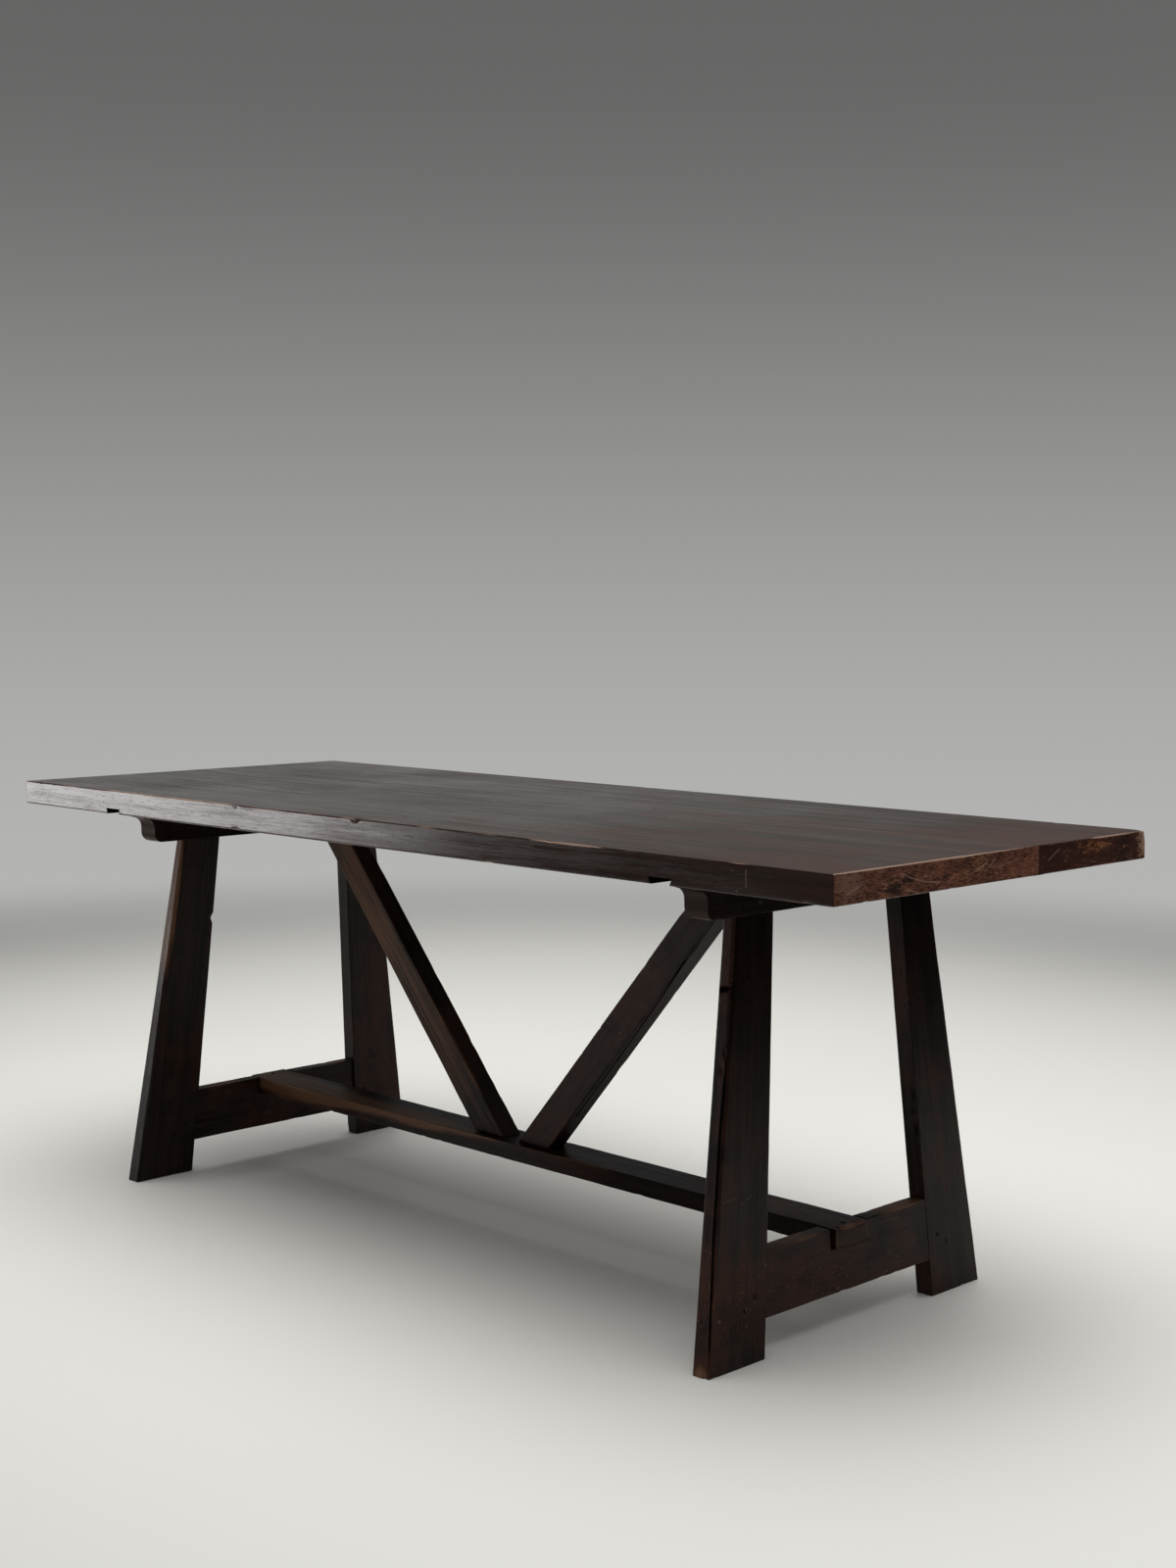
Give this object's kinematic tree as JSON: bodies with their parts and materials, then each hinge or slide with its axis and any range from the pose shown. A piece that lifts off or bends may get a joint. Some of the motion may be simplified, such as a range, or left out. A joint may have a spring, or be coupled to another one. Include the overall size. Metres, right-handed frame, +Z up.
{
  "type": "refectory table",
  "caption": "Long dark wooden refectory table: plank top on raked trestle legs, with ogee-ended dovetailed bearers, low cross rails, a long stretcher and diagonal braces.",
  "frame": {"origin": "on the floor, under the middle of the top", "axes": "+X along the length of the top, +Y across it towards the back edge, +Z up"},
  "size_m": [2.034, 0.762, 0.76],
  "materials": {
    "top_timber": "dark stained, waxed satin",
    "frame_timber": "dark stained, worn satin",
    "peg_timber": "dark end grain",
    "nail_iron": "hand forged, dark"
  },
  "bodies": {
    "root": {"front_top_board": "top_timber", "rear_top_board": "top_timber", "top_dowels": "peg_timber", "left_bearer": "frame_timber", "right_bearer": "frame_timber", "left_bearer_pegs": "peg_timber", "right_bearer_pegs": "peg_timber", "front_left_leg": "frame_timber", "rear_left_leg": "frame_timber", "front_right_leg": "frame_timber", "rear_right_leg": "frame_timber", "left_cross_stretcher": "frame_timber", "right_cross_stretcher": "frame_timber", "left_rail_pegs": "peg_timber", "right_rail_pegs": "peg_timber", "long_stretcher": "frame_timber", "left_lap_peg": "peg_timber", "right_lap_peg": "peg_timber", "left_brace": "frame_timber", "right_brace": "frame_timber", "left_brace_nails": "nail_iron", "right_brace_nails": "nail_iron"}
  },
  "joints": []
}
